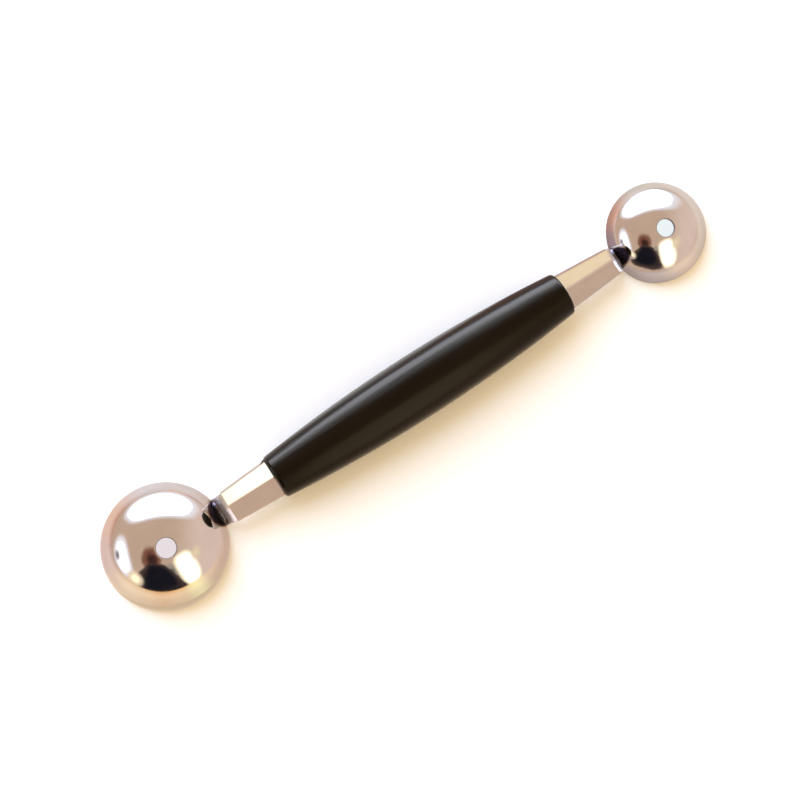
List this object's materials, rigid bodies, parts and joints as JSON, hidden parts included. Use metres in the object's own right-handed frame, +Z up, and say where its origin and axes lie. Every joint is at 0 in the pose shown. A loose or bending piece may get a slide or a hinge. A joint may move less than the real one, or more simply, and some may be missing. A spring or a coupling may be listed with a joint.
{
  "type": "double-ended melon baller",
  "caption": "Hand tool with a round metal scoop on a creased metal shank at each end of a black barrel-shaped handle, for cutting balls of fruit.",
  "frame": {"origin": "bottom centre of the whole tool as it stands on its two cup rims", "axes": "+X along the tool towards the small cup, +Z up through the cups' domes"},
  "size_m": [0.1536, 0.0278, 0.0141],
  "materials": {
    "black_plastic": "fine moulded grain, semi-matte",
    "cup_steel": "pressed and polished stainless steel with fine wear",
    "shank_steel": "satin stainless strip",
    "weld_steel": "dull weld metal"
  },
  "bodies": {
    "root": {"handle": "black_plastic", "large_cup": "cup_steel", "small_cup": "cup_steel", "large_shank": "shank_steel", "small_shank": "shank_steel", "large_cup_weld": "weld_steel", "small_cup_weld": "weld_steel"}
  },
  "joints": []
}
